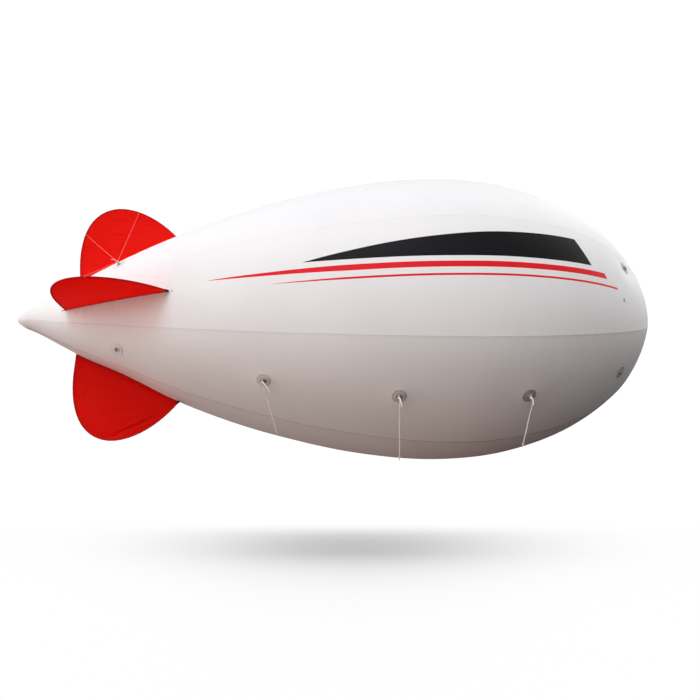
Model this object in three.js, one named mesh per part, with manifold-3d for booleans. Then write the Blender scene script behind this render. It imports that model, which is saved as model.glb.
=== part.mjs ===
// Helium advertising blimp: a welded film hull of eight gores, four rodded tail fins, mooring patches and ropes.
// Millimetres. Nose at +X, +Z up, the hull's right side at -Y. The origin is the centre of lift, on the axis.
// Places along the hull are distances from the tail tip. Angles go round the hull in degrees:
// 0 right side, 90 belly, 180 left side, 270 top.
import * as THREE from "three";
import { mergeVertices } from "three/addons/utils/BufferGeometryUtils.js";
import Module from "manifold-3d";

const wasm = await Module();
wasm.setup();

// Hull
const hullLength = 5000;
const hullRadius = 1130;
const widestShare = 0.645; // widest section, as a share of the length from the tail tip
const liftShare = 0.584; // centre of lift, as a share of the length
const tailPower = 1.78;
const tailRound = 0.955;
const nosePower = 2.05;
const noseRound = 0.54;
const tipRadius = 32; // the tail tip is a small ball that melts into the cone over its reach
const tipReach = 105;
const tipPower = 1.6;
const shellWall = 10;
const gap = 0.3; // clearance between pieces that touch
const capWall = 3;
const tailOpening = 25; // the gores end here, round a small hole under the tail's end disc
const tailCapReach = 90;
const noseOpening = hullLength - 6;
const noseCapReach = hullLength - 20;

// The hull's grid: every solid that rests on it shares these stations and columns
const stationStep = 7; // degrees of the spacing angle, 0 at the tail tip and 180 at the nose
const columnStep = 7.5;
const tipStations = [8, 50]; // more of them round the tail tip

// Fins, drawn from the tail tip (along) and the axis (out)
const finSheet = 4;
const finRearRoot = { along: 440, out: 180 };
const finRearEdge = { along: 425, out: 386 };
const finTop = { along: 635, out: 898 };
const finFrontRoot = { along: 1160, out: 638 };
const finRearBow = [
  { along: 408, out: 609 },
  { along: 451, out: 843 },
];
const finFrontBow = [
  { along: 775, out: 940 },
  { along: 989, out: 846 },
];
const finFrontToe = { along: 1130, out: 500 }; // inside the hull, cut away by the seat
const finPivot = 750; // a fin's slant turns it about this place along the hull
const rodRadius = 5;
const rodSides = 6;
const rodSteps = 26;
const edgeSteps = 12;
const flangeWidth = 80;
const flangeWall = 3;
const flangeRear = 392;
const flangeFront = 1172;

// Round patches
const patchRadius = 52;
const patchWall = 3;
const patchSides = 16;
const tabWidth = 24; // webbing tab, folded flat and sewn to the patch
const tabHeight = 14;
const tabThick = 8;

// Ropes and stays
const ropeRadius = 4;
const ropeSides = 6;
const ropeKnot = 9;
const stayRadius = 2.5;
const stayKnot = 9;

// Filling valve
const valveAlong = 1330;
const valveAngle = 135;
const valveSides = 24;
const valveFlange = 55;
const valveNeckOuter = 30;
const valveNeckInner = 22;
const valveNeckHeight = 20;
const lidRadius = 32;
const lidWall = 5;
const lidKnob = 12;
const pinRadius = 2.5;
const pinOffset = 40; // the hinge pin's distance from the neck's axis
const pinPlay = 0.5;
const earWidth = 6;
const earDepth = 12;
const earSpread = 20; // width of the lid's lug between the ears

// The side fins sit "back" nearer the tail, droop a little and are welded on with their fronts up by "slant" degrees
const finPlaces = {
  right: { angle: 0.5, back: 32, slant: 1.55 },
  bottom: { angle: 90, back: 0, slant: 0 },
  left: { angle: 179.5, back: 32, slant: -1.55 },
  top: { angle: 270, back: 0, slant: 0 },
};
const gorePlaces = [
  { side: "right", angle: 0 },
  { side: "lower_right", angle: 45 },
  { side: "bottom", angle: 90 },
  { side: "lower_left", angle: 135 },
  { side: "left", angle: 180 },
  { side: "upper_left", angle: 225 },
  { side: "top", angle: 270 },
  { side: "upper_right", angle: 315 },
];
// A rope hangs from the patch by "drop" and leans towards the nose by "lean"
const mooringPlaces = [
  { name: "rear", along: 1770, drop: 335, lean: 90 },
  { name: "middle", along: 2660, drop: 390, lean: -25 },
  { name: "front", along: 3580, drop: 315, lean: -100 },
];
// The left side's ropes are cut short, to "kept" of that
const mooringSides = [
  { side: "right", angle: 45, kept: 1 },
  { side: "left", angle: 135, kept: 0.33 },
];
const nosePatchPlaces = [
  { side: "lower_right", along: 4430, angle: 45 },
  { side: "lower_left", along: 4430, angle: 135 },
  { side: "upper_left", along: 4540, angle: 197 },
  { side: "upper_right", along: 4540, angle: 343 },
];
const stayPatchAlong = 760;
const stayPatchPlaces = [
  { side: "lower_right", angle: 45 },
  { side: "lower_left", angle: 135 },
  { side: "upper_left", angle: 225 },
  { side: "upper_right", angle: 315 },
];
// Where the stays reach the fins' edges: share of the rim from its rear root to its front root
const topStayShares = [0.357, 0.71];
const sideStayShare = 0.612;
const stayPlaces = [
  { side: "right", angle: 315 },
  { side: "left", angle: 225 },
];

const white = { color: 0xf3f3f5, roughness: 0.35, metalness: 0 };
const red = { color: 0xd81a1c, roughness: 0.4, metalness: 0 };
const darkRed = { color: 0x4a1015, roughness: 0.5, metalness: 0 };
const grey = { color: 0x9b9592, roughness: 0.5, metalness: 0 };
const rope = { color: 0xe4e1d8, roughness: 0.9, metalness: 0 };
const clearGrey = { color: 0xd4d6da, roughness: 0.3, metalness: 0 };

const blimp = new THREE.Group();
blimp.name = "blimp";

function addMesh(name, geometry, finish, parent = blimp) {
  const mesh = new THREE.Mesh(geometry, new THREE.MeshStandardMaterial(finish));
  mesh.name = name;
  parent.add(mesh);
  return mesh;
}

// Closed solids for cutting and joining
function toSolid(geometry) {
  const bare = geometry.clone();
  bare.deleteAttribute("normal");
  bare.deleteAttribute("uv");
  const merged = mergeVertices(bare, 1e-3);
  const solid = new wasm.Manifold(
    new wasm.Mesh({
      numProp: 3,
      vertProperties: merged.attributes.position.array,
      triVerts: new Uint32Array(merged.index.array),
    }),
  );
  return solid;
}

function toGeometry(solid) {
  const mesh = solid.getMesh();
  const geometry = new THREE.BufferGeometry();
  geometry.setAttribute("position", new THREE.BufferAttribute(mesh.vertProperties, 3));
  geometry.setIndex(new THREE.BufferAttribute(mesh.triVerts, 1));
  geometry.computeVertexNormals();
  return geometry;
}

// Hull form: a pointed tail with a rounded tip and a blunt nose, which meet at the widest section
function radiusAt(share) {
  if (share < widestShare) {
    const back = (widestShare - share) / widestShare;
    const cone = hullRadius * Math.pow(1 - Math.pow(back, tailPower), tailRound);
    const along = share * hullLength;
    const ball = 2 * tipRadius * along * Math.exp(-Math.pow(along / tipReach, tipPower));
    return Math.sqrt(cone * cone + ball);
  }
  const ahead = (share - widestShare) / (1 - widestShare);
  return hullRadius * Math.pow(1 - Math.pow(Math.min(ahead, 1), nosePower), noseRound);
}

// The spacing angle crowds the stations towards both tips, where the outline bends most
function shareAt(spacingAngle) {
  const c = Math.cos(THREE.MathUtils.degToRad(spacingAngle));
  return spacingAngle <= 90 ? widestShare * (1 - c) : widestShare - (1 - widestShare) * c;
}

function spacingAngleAt(share) {
  const c = share < widestShare ? 1 - share / widestShare : -(share - widestShare) / (1 - widestShare);
  return THREE.MathUtils.radToDeg(Math.acos(c));
}

// One station lies under each fitting and at each disc's rim, and the stretches between are split evenly
function makeStations() {
  const patches = [...mooringPlaces, ...nosePatchPlaces.slice(1, 3)].map((place) => place.along);
  const fittings = [stayPatchAlong, valveAlong, ...patches];
  const rims = [...tipStations, tailOpening, tailCapReach, noseCapReach, noseOpening];
  const angles = [...fittings, ...rims].map((along) => spacingAngleAt(along / hullLength));
  angles.push(180);
  angles.sort((a, b) => a - b);
  const shares = [0];
  let from = 0;
  for (const to of angles) {
    const parts = Math.ceil((to - from) / stationStep);
    for (let i = 1; i <= parts; i++) shares.push(shareAt(from + ((to - from) * i) / parts));
    from = to;
  }
  return shares;
}

const stations = makeStations();

function stationAt(along) {
  return stations.findIndex((share) => Math.abs(share * hullLength - along) < 0.01);
}

function slopeAt(share) {
  const step = 1e-4;
  const low = Math.max(share - step, 0);
  const high = Math.min(share + step, 1);
  return (radiusAt(high) - radiusAt(low)) / ((high - low) * hullLength);
}

// One point of the hull's outline in its own plane, moved outwards along the surface normal
function outlinePoint(share, offset) {
  const x = (share - liftShare) * hullLength;
  if (share <= 0) return new THREE.Vector2(x - offset, 0);
  if (share >= 1) return new THREE.Vector2(x + offset, 0);
  const slope = slopeAt(share);
  const length = Math.hypot(1, slope);
  return new THREE.Vector2(x - (slope / length) * offset, radiusAt(share) + offset / length);
}

function turned(x, out, angle) {
  const a = THREE.MathUtils.degToRad(angle);
  return new THREE.Vector3(x, -out * Math.cos(a), -out * Math.sin(a));
}

// A lathe about the X axis, on the hull's own columns
function latheAlongX(points) {
  const profile = points.map((p) => new THREE.Vector2(Math.max(p.y, 0), p.x));
  const geometry = new THREE.LatheGeometry(profile, 360 / columnStep);
  geometry.rotateZ(-Math.PI / 2);
  return geometry;
}

function facingOut(solid) {
  if (solid.volume() >= 0) return solid;
  throw new Error("a solid is inside out");
}

function hullSolid(offset) {
  return facingOut(toSolid(latheAlongX(stations.map((s) => outlinePoint(s, offset)))));
}

const seat = hullSolid(gap); // cuts what rests on the hull
const finSeat = hullSolid(gap + flangeWall + gap);

// The matrix of a fitting: its local Z points out of the hull and its local X along it, towards the nose
function placeOn(along, angle, height = 0) {
  const share = along / hullLength;
  const p = outlinePoint(share, height);
  const slope = slopeAt(share);
  const forward = turned(1 / Math.hypot(1, slope), slope / Math.hypot(1, slope), angle);
  const origin = turned(p.x, p.y, angle);
  const outward = turned(-slope / Math.hypot(1, slope), 1 / Math.hypot(1, slope), angle);
  const across = new THREE.Vector3().crossVectors(outward, forward);
  return new THREE.Matrix4().makeBasis(forward, across, outward).setPosition(origin);
}

// One gore: a curved panel with a wall, between its two seams
function goreGeometry(angle) {
  const first = stationAt(tailOpening);
  const last = stationAt(noseOpening);
  const half = 360 / gorePlaces.length / 2;
  const columns = (2 * half) / columnStep;
  const rows = last - first;
  const corners = [];
  for (const offset of [0, -shellWall]) {
    for (let i = 0; i <= rows; i++) {
      const p = outlinePoint(stations[first + i], offset);
      const trim = THREE.MathUtils.radToDeg(gap / 2 / p.y);
      for (let j = 0; j <= columns; j++) {
        const edge = j === 0 ? trim : j === columns ? -trim : 0;
        corners.push(turned(p.x, p.y, angle - half + j * columnStep + edge));
      }
    }
  }
  const at = (layer, i, j) => (layer * (rows + 1) + i) * (columns + 1) + j;
  const faces = [];
  const quad = (a, b, c, d) => faces.push(a, b, c, a, c, d);
  for (let i = 0; i < rows; i++) {
    for (let j = 0; j < columns; j++) {
      quad(at(0, i, j), at(0, i, j + 1), at(0, i + 1, j + 1), at(0, i + 1, j));
      quad(at(1, i, j), at(1, i + 1, j), at(1, i + 1, j + 1), at(1, i, j + 1));
    }
    quad(at(0, i, 0), at(0, i + 1, 0), at(1, i + 1, 0), at(1, i, 0));
    quad(at(0, i + 1, columns), at(0, i, columns), at(1, i, columns), at(1, i + 1, columns));
  }
  for (let j = 0; j < columns; j++) {
    quad(at(0, 0, j + 1), at(0, 0, j), at(1, 0, j), at(1, 0, j + 1));
    quad(at(0, rows, j), at(0, rows, j + 1), at(1, rows, j + 1), at(1, rows, j));
  }
  const geometry = new THREE.BufferGeometry().setFromPoints(corners);
  geometry.setIndex(faces);
  geometry.computeVertexNormals();
  return geometry;
}

// A disc over the tips of the gores: its profile starts and ends on the axis
function capGeometry(first, last) {
  const shares = stations.slice(first, last + 1);
  const outer = shares.map((s) => outlinePoint(s, gap + capWall));
  const inner = shares.map((s) => outlinePoint(s, gap)).reverse();
  return latheAlongX(first === 0 ? [...outer, ...inner] : [...inner, ...outer]);
}

function addHull() {
  for (const gore of gorePlaces) {
    let panel = facingOut(toSolid(goreGeometry(gore.angle)));
    if (gore.angle === valveAngle) {
      const port = cylinderAlongZ(valveNeckInner, -30, 30, valveSides).applyMatrix4(placeOn(valveAlong, valveAngle));
      panel = panel.subtract(toSolid(port));
    }
    addMesh("gore_" + gore.side, toGeometry(panel), white);
  }
  addMesh("tail_cap", capGeometry(0, stationAt(tailCapReach)), white);
  addMesh("nose_cap", capGeometry(stationAt(noseCapReach), stations.length - 1), white);
}

// A tube along a curve
function tubeGeometry(curve, radius, sides, steps) {
  const section = new THREE.Shape();
  for (let i = 0; i < sides; i++) {
    const a = (2 * Math.PI * i) / sides;
    if (i === 0) section.moveTo(radius, 0);
    else section.lineTo(radius * Math.cos(a), radius * Math.sin(a));
  }
  section.closePath();
  return new THREE.ExtrudeGeometry(section, { steps, extrudePath: curve, curveSegments: 1 });
}

// The fin's free edge in its own plane, from the rear root to the front root
function finEdge() {
  const edge = new THREE.CurvePath();
  const point = (p) => new THREE.Vector2(p.along, p.out);
  edge.add(new THREE.LineCurve(point(finRearRoot), point(finRearEdge)));
  const [rearA, rearB] = finRearBow.map(point);
  edge.add(new THREE.CubicBezierCurve(point(finRearEdge), rearA, rearB, point(finTop)));
  const [frontA, frontB] = finFrontBow.map(point);
  edge.add(new THREE.CubicBezierCurve(point(finTop), frontA, frontB, point(finFrontRoot)));
  return edge;
}

// The rod's centre line: the fin's edge moved out by the rod's radius
function rodLine() {
  const edge = finEdge();
  const points = [];
  for (let i = 0; i <= rodSteps; i++) {
    const p = edge.getPointAt(i / rodSteps);
    const t = edge.getTangentAt(i / rodSteps);
    points.push(new THREE.Vector3(p.x - t.y * (rodRadius + gap), p.y + t.x * (rodRadius + gap), 0));
  }
  return new THREE.CatmullRomCurve3(points);
}

// Carries a shape drawn in the fin's plane (along, out, across) to its place round the hull
function finMatrix(fin) {
  const out = turned(0, 1, fin.angle);
  const along = new THREE.Vector3(1, 0, 0).applyAxisAngle(out, THREE.MathUtils.degToRad(fin.slant));
  const across = new THREE.Vector3().crossVectors(along, out);
  const start = along.clone().multiplyScalar(-finPivot);
  start.x += finPivot - fin.back - liftShare * hullLength;
  return new THREE.Matrix4().makeBasis(along, out, across).setPosition(start);
}

function finGeometry(fin) {
  const outline = finEdge().getPoints(edgeSteps);
  const shape = new THREE.Shape([...outline, new THREE.Vector2(finFrontToe.along, finFrontToe.out)]);
  const sheet = new THREE.ExtrudeGeometry(shape, { depth: finSheet, bevelEnabled: false });
  sheet.translate(0, 0, -finSheet / 2).applyMatrix4(finMatrix(fin));
  return toGeometry(facingOut(toSolid(sheet)).subtract(rodSolid(fin, gap)).subtract(finSeat));
}

function rodSolid(fin, clearance) {
  const tube = tubeGeometry(rodLine(), rodRadius + clearance, rodSides, rodSteps);
  tube.applyMatrix4(finMatrix(fin));
  return facingOut(toSolid(tube));
}

function flangeGeometry(fin) {
  const block = new THREE.BoxGeometry(flangeFront - flangeRear, hullRadius, flangeWidth);
  block.translate((flangeFront + flangeRear) / 2, hullRadius / 2 + 50, 0).applyMatrix4(finMatrix(fin));
  return toGeometry(toSolid(block).intersect(hullSolid(gap + flangeWall)).subtract(seat));
}

function addFins() {
  for (const [side, fin] of Object.entries(finPlaces)) {
    addMesh("fin_" + side, finGeometry(fin), red);
    addMesh("fin_rod_" + side, toGeometry(rodSolid(fin, 0).subtract(finSeat)), darkRed);
    addMesh("fin_flange_" + side, flangeGeometry(fin), white);
  }
}

// A round patch with its webbing tab, cut to lie on the hull
function patchGeometry(along, angle) {
  const depth = 12;
  const disc = new THREE.CylinderGeometry(patchRadius, patchRadius, depth + patchWall, patchSides);
  disc.rotateX(Math.PI / 2).translate(0, 0, (patchWall - depth) / 2);
  const side = new THREE.Shape();
  side.moveTo(-tabThick / 2, 0);
  side.lineTo(tabThick / 2, 0);
  side.lineTo(tabThick / 2, tabHeight - tabThick / 2);
  side.absarc(0, tabHeight - tabThick / 2, tabThick / 2, 0, Math.PI, false);
  side.closePath();
  const tab = new THREE.ExtrudeGeometry(side, { depth: tabWidth, bevelEnabled: false, curveSegments: 4 });
  tab.translate(0, 0, -tabWidth / 2).rotateX(Math.PI / 2).translate(0, 0, patchWall - 1);
  const place = placeOn(along, angle);
  const solid = toSolid(disc).add(facingOut(toSolid(tab)));
  return toGeometry(toSolid(toGeometry(solid).applyMatrix4(place)).subtract(seat));
}

const tabTop = patchWall - 1 + tabHeight;

function addPatches() {
  for (const m of mooringPlaces) {
    for (const s of mooringSides) {
      addMesh(`mooring_patch_${m.name}_${s.side}`, patchGeometry(m.along, s.angle), grey);
    }
  }
  for (const p of nosePatchPlaces) addMesh("nose_patch_" + p.side, patchGeometry(p.along, p.angle), grey);
  for (const p of stayPatchPlaces) addMesh("stay_patch_" + p.side, patchGeometry(stayPatchAlong, p.angle), grey);
}

function knotSolid(centre, radius) {
  const ball = new THREE.IcosahedronGeometry(radius, 1);
  ball.translate(centre.x, centre.y, centre.z);
  return toSolid(ball);
}

function cordSolid(from, to, radius) {
  return facingOut(toSolid(tubeGeometry(new THREE.LineCurve3(from, to), radius, ropeSides, 1)));
}

// A mooring rope: a knot on the patch's tab, a taut run and a stopper knot at its end
function ropeGeometry(along, angle, drop, lean) {
  const top = new THREE.Vector3(0, 0, tabTop + gap + ropeKnot).applyMatrix4(placeOn(along, angle));
  const end = top.clone().add(new THREE.Vector3(lean, 0, -drop));
  const solid = cordSolid(top, end, ropeRadius).add(knotSolid(top, ropeKnot)).add(knotSolid(end, ropeKnot));
  return toGeometry(solid);
}

// Two stays to the top fin's edge and one to the side fin's, from one knot
function stayGeometry(place) {
  const rod = rodLine();
  const knot = new THREE.Vector3(0, 0, tabTop + gap + stayKnot).applyMatrix4(placeOn(stayPatchAlong, place.angle));
  const ends = [
    ...topStayShares.map((share) => ({ share, fin: finPlaces.top })),
    { share: sideStayShare, fin: finPlaces[place.side] },
  ];
  let solid = knotSolid(knot, stayKnot);
  for (const end of ends) {
    const frame = finMatrix(end.fin);
    const rim = rod.getPointAt(end.share).applyMatrix4(frame);
    const across = new THREE.Vector3().setFromMatrixColumn(frame, 2);
    if (across.dot(knot) < 0) across.negate();
    const tip = rim.clone().addScaledVector(across, rodRadius + gap + stayRadius);
    solid = solid.add(cordSolid(knot, tip, stayRadius));
  }
  return toGeometry(solid);
}

function addRigging() {
  for (const m of mooringPlaces) {
    for (const s of mooringSides) {
      const geometry = ropeGeometry(m.along, s.angle, m.drop * s.kept, m.lean * s.kept);
      addMesh(`mooring_rope_${m.name}_${s.side}`, geometry, rope);
    }
  }
  for (const place of stayPlaces) addMesh("fin_stays_" + place.side, stayGeometry(place), rope);
}

function cylinderAlongZ(radius, bottom, top, sides) {
  const cylinder = new THREE.CylinderGeometry(radius, radius, top - bottom, sides);
  return cylinder.rotateX(Math.PI / 2).translate(0, 0, (top + bottom) / 2);
}

function cylinderAlongX(radius, width, y, z) {
  const cylinder = new THREE.CylinderGeometry(radius, radius, width, 12);
  return cylinder.rotateZ(Math.PI / 2).translate(0, y, z);
}

// The valve in its own frame: Z out of the hull, its hinge pin along X on the upper side
const pinHeight = patchWall + valveNeckHeight + gap + lidWall / 2;

function valveBase() {
  const flange = toSolid(cylinderAlongZ(valveFlange, -12, patchWall, valveSides));
  const neck = toSolid(cylinderAlongZ(valveNeckOuter, -12, patchWall + valveNeckHeight, valveSides));
  const bore = toSolid(cylinderAlongZ(valveNeckInner, -30, patchWall + valveNeckHeight + 10, valveSides));
  let base = flange.add(neck);
  const earHeight = pinHeight + pinRadius + 2;
  for (const side of [-1, 1]) {
    const ear = new THREE.BoxGeometry(earWidth, earDepth, earHeight);
    ear.translate(side * (earSpread / 2 + pinPlay + earWidth / 2), -pinOffset, earHeight / 2);
    base = base.add(toSolid(ear));
  }
  const pinLength = earSpread + 2 * pinPlay + 2 * earWidth;
  base = base.add(toSolid(cylinderAlongX(pinRadius, pinLength, -pinOffset, pinHeight)));
  return base.subtract(bore);
}

function valveLid() {
  const bottom = patchWall + valveNeckHeight + gap;
  const disc = toSolid(cylinderAlongZ(lidRadius, bottom, bottom + lidWall, valveSides));
  const knob = toSolid(cylinderAlongZ(lidKnob, bottom + 1, bottom + lidWall + 5, valveSides));
  const arm = new THREE.BoxGeometry(earSpread, pinOffset - lidRadius + 8, lidWall);
  arm.translate(0, -(pinOffset + lidRadius - 8) / 2, bottom + lidWall / 2);
  const barrel = toSolid(cylinderAlongX(pinRadius + 3, earSpread, -pinOffset, pinHeight));
  const bore = toSolid(cylinderAlongX(pinRadius + pinPlay, earSpread + 10, -pinOffset, pinHeight));
  return disc.add(knob).add(toSolid(arm)).add(barrel).subtract(bore);
}

function addValve() {
  const place = placeOn(valveAlong, valveAngle);
  const base = toSolid(toGeometry(valveBase()).applyMatrix4(place)).subtract(seat);
  addMesh("valve_base", toGeometry(base), clearGrey);
  const lidFrame = new THREE.Group();
  lidFrame.applyMatrix4(place);
  blimp.add(lidFrame);
  addMesh("valve_lid", toGeometry(valveLid()), red, lidFrame);
}

addHull();
addFins();
addPatches();
addRigging();
addValve();

export default blimp;
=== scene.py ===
import math
import bmesh
import bpy
import numpy as np
from mathutils import Matrix


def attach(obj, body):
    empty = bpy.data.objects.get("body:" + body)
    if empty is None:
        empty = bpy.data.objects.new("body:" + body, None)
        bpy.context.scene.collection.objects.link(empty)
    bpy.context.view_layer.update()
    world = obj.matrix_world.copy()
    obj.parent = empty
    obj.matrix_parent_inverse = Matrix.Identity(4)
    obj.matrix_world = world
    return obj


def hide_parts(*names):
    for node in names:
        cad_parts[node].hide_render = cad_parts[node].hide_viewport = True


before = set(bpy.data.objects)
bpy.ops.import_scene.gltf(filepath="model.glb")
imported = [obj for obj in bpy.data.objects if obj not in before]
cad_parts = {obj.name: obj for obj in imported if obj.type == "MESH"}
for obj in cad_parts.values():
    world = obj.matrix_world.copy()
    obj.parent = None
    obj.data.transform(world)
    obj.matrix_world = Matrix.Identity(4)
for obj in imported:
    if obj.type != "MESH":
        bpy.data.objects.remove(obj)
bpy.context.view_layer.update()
print("frame loaded:", len(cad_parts), "nodes")

# Metres. Nose at +X, up +Z, the hull's right side at -Y.
# Places along the hull count from the tail tip, angles go round it: 0 right, 90 belly, 180 left, 270 top.

# The photo's camera: angles in degrees, lens and sensor in millimetres
photoView = {
    "place": (-1.3195, -4.8593, -1.5145),
    "heading": -10.29, "tilt": 14.394, "roll": 2.834,
    "lens": 32.914, "sensor": 36.0, "farClip": 300,
}


def addObject(name, data):
    made = bpy.data.objects.new(name, data)
    bpy.context.scene.collection.objects.link(made)
    return made


def makeCamera(v):
    data = bpy.data.cameras.new("photoCamera")
    data.lens = v["lens"]
    data.sensor_width = v["sensor"]
    data.clip_end = v["farClip"]
    turn = Matrix.Translation(v["place"])
    for angle, axis in ((v["heading"], "Z"), (v["tilt"], "X"), (v["roll"], "Y"), (90, "X")):
        turn = turn @ Matrix.Rotation(math.radians(angle), 4, axis)
    camera = addObject("photoCamera", data)
    camera.matrix_world = turn
    bpy.context.scene.camera = camera


makeCamera(photoView)
print("camera placed")


# quads of a grid with rows x columns points, numbered row by row
def gridQuads(rows, columns, closeRows=False, closeColumns=False):
    i = np.arange(rows if closeRows else rows - 1)[:, None]
    j = np.arange(columns if closeColumns else columns - 1)[None, :]
    iNext, jNext = (i + 1) % rows, (j + 1) % columns
    corners = [i * columns + j, i * columns + jNext, iNext * columns + jNext, iNext * columns + j]
    return np.stack(corners, -1).reshape(-1, 4)


# a tube of rows x columns points with its two flat ends
def bar(rows, columns):
    ring = np.arange(columns)
    ends = [ring[None, :], (ring[::-1] + (rows - 1) * columns)[None, :]]
    return [gridQuads(rows, columns, closeColumns=True), *ends]


# a part whose rows and columns of points both close to a ring
def ringPart(points):
    faces = [gridQuads(*points.shape[:2], closeRows=True, closeColumns=True)]
    return {"points": points.reshape(-1, 3), "faces": faces}


# a closed shell: a grid of outer points, one of inner points, and a rim of quads between their free borders
def shell(outer, inner, closeColumns=False):
    rows, columns = outer.shape[:2]
    count = rows * columns
    index = np.arange(count).reshape(rows, columns)
    border = index[-1]
    if not closeColumns:
        border = np.concatenate([index[0], index[1:, -1], index[-1, -2::-1], index[-2:0:-1, 0]])
    after = np.roll(border, -1)
    quads = gridQuads(rows, columns, closeColumns=closeColumns)
    rim = np.stack([border, border + count, after + count, after], 1)
    points = np.concatenate([outer.reshape(-1, 3), inner.reshape(-1, 3)])
    return points, [quads, quads[:, ::-1] + count, rim]


# marks with the same values on a shell's outer and inner points
def twice(**marks):
    return [(label, np.tile(values.ravel(), 2)) for label, values in marks.items()]


# a mesh with its doubles merged, its faces turned outwards and shaded smooth up to the "sharp" angle;
# marks are float attributes of its points, and numbers are its faces' materials
def newMesh(name, points, faceSets, marks=(), numbers=None, merge=1e-7, sharp=40):
    points = np.asarray(points, np.float32).reshape(-1, 3)
    mesh = bpy.data.meshes.new(name)
    mesh.vertices.add(len(points))
    mesh.vertices.foreach_set("co", points.ravel())
    loops = np.concatenate([f.ravel() for f in faceSets])
    sizes = np.concatenate([np.full(len(f), f.shape[1]) for f in faceSets])
    mesh.loops.add(len(loops))
    mesh.loops.foreach_set("vertex_index", loops.astype(np.int32))
    mesh.polygons.add(len(sizes))
    mesh.polygons.foreach_set("loop_start", (np.cumsum(sizes) - sizes).astype(np.int32))
    if numbers is not None:
        mesh.polygons.foreach_set("material_index", np.asarray(numbers, np.int32))
    mesh.update(calc_edges=True)
    for label, values in marks:
        layer = mesh.attributes.new(label, "FLOAT", "POINT")
        layer.data.foreach_set("value", np.asarray(values, np.float32).ravel())
    work = bmesh.new()
    work.from_mesh(mesh)
    bmesh.ops.remove_doubles(work, verts=work.verts, dist=merge)
    bmesh.ops.dissolve_degenerate(work, dist=merge * 0.1, edges=work.edges)
    bmesh.ops.recalc_face_normals(work, faces=work.faces)
    for face in work.faces:
        face.smooth = True
    work.to_mesh(mesh)
    work.free()
    mesh.set_sharp_from_angle(angle=math.radians(sharp))
    return mesh


# a shape is points and face sets, with marks and material numbers where it has them
def addPiece(name, shape, materials, slot, node=None, body="hull", **finish):
    mesh = newMesh(name, *shape, **finish)
    for material in materials:
        mesh.materials.append(material)
    piece = addObject(name, mesh)
    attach(piece, body)
    if node:
        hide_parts(node)
    return piece


# several parts, each with its points, faces and material number, as one shape with the labelled marks
def joined(parts, *labels):
    faces, numbers, first = [], [], 0
    for part in parts:
        for f in part["faces"]:
            faces.append(f + first)
            numbers.append(np.full(len(f), part.get("material", 0)))
        first += len(part["points"])
    points = np.concatenate([part["points"] for part in parts])
    marks = [(label, np.concatenate([part[label] for part in parts])) for label in labels]
    return points, faces, marks, np.concatenate(numbers)


# The hull's form. "widest" and "lift", where the origin is, are shares of its length from the tail tip;
# at that tip a small ball melts into the cone
hull = {
    "length": 5.0, "radius": 1.13, "widest": 0.645, "lift": 0.584,
    "tailPower": 1.78, "tailRound": 0.955,
    "nosePower": 2.05, "noseRound": 0.54,
    "tipRadius": 0.032, "tipReach": 0.105, "tipPower": 1.6,
    "wall": 0.010, "tailOpening": 0.025, "noseOpening": 4.994,
    "seamGap": 0.00015, "rows": 400, "columns": 34,
}

# What shapes the film's skin
film = {
    # each gore is a little flatter than a circle: all of it ahead of "flatFrom", less behind and on top
    "flatness": 0.0086, "flatFrom": (1.8, 3.4), "flatBehind": 0.45, "flatOnTop": 0.35,
    "weldHalf": 0.011, "weldHeight": 0.0006,
    "puckerHeight": 0.0007, "puckerReach": 0.045, "puckerWave": 0.087, "slowHeight": 0.0013,
    "rootHeight": 0.0008, "rootOff": 0.045, "rootReach": 0.035, "rootWave": 0.052,
    "rootRear": (0.38, 0.46), "rootFront": (1.22, 1.10),
    "valveFlat": (0.060, 0.120),  # flat round the valve out to the first, as elsewhere from the second
}

gorePlaces = {
    "right": 0, "lower_right": 45, "bottom": 90, "lower_left": 135,
    "left": 180, "upper_left": 225, "top": 270, "upper_right": 315,
}
# The side fins sit "back" nearer the tail and are welded on with their fronts up by "slant" degrees
finPlaces = {
    "right": {"angle": 0.5, "back": 0.032, "slant": 1.55},
    "bottom": {"angle": 90.0, "back": 0.0, "slant": 0.0},
    "left": {"angle": 179.5, "back": 0.032, "slant": -1.55},
    "top": {"angle": 270.0, "back": 0.0, "slant": 0.0},
}
mooringAlong = {"rear": 1.770, "middle": 2.660, "front": 3.580}
mooringSides = {"right": 45, "left": 135}
nosePatches = {
    "lower_right": (4.430, 45), "lower_left": (4.430, 135),
    "upper_left": (4.540, 197), "upper_right": (4.540, 343),
}
stayPatches = {
    "lower_right": (0.760, 45), "lower_left": (0.760, 135),
    "upper_left": (0.760, 225), "upper_right": (0.760, 315),
}
valvePlace = (1.330, 135)

# Bells of the film, and dents below zero: metres along the hull, degrees round it, height and reach
swells = [
    (0.780, 90, -0.028, 0.300),  # the film drawn in over the bottom fin's root
    (4.560, 199, -0.018, 0.230), (4.560, 341, -0.018, 0.230),  # dents at the upper nose patches
    (4.525, 196, -0.013, 0.110), (4.525, 344, -0.013, 0.110),
]
swells += [(along, angle, 0.003, 0.075) for along in mooringAlong.values() for angle in mooringSides.values()]
swells += [(*nosePatches[corner], 0.0008, 0.075) for corner in ("lower_right", "lower_left")]
swells += [(*place, 0.0012, 0.075) for place in stayPatches.values()]


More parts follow.
